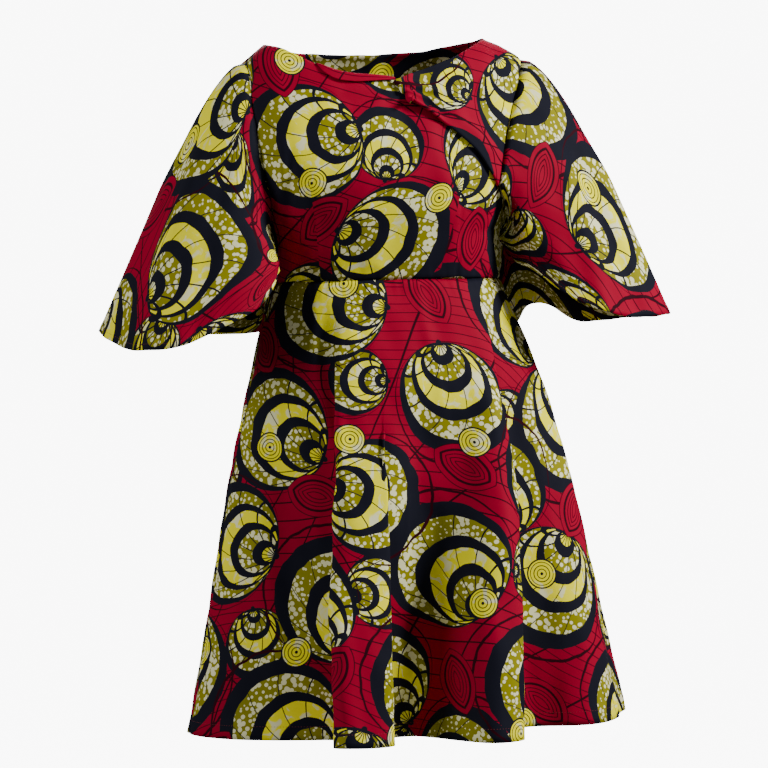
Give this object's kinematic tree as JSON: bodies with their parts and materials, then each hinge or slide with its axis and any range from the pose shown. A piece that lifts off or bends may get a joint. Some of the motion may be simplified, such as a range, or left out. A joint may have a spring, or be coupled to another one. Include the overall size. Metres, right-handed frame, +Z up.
{
  "type": "ankara wax print dress",
  "caption": "Fit-and-flare wax print dress with a wide twisted boat neck, open cape sleeves and a full skirt in soft folds.",
  "frame": {"origin": "on the line between the two shoulders, where the wearer carries the dress; z = 0 is the shoulder line", "axes": "+Z up, -Y the front of the dress, +X the wearer's left side"},
  "size_m": [0.8047, 0.4887, 0.9571],
  "materials": {
    "printed_cotton": "matte",
    "printed_cotton_inner": "matte"
  },
  "bodies": {
    "root": {"bodice_front": "printed_cotton", "bodice_back": "printed_cotton_inner", "shoulder_drape": "printed_cotton", "neck_roll": "printed_cotton_inner", "sleeve_right": "printed_cotton", "sleeve_left": "printed_cotton", "skirt_front": "printed_cotton", "skirt_back": "printed_cotton_inner"}
  },
  "joints": []
}
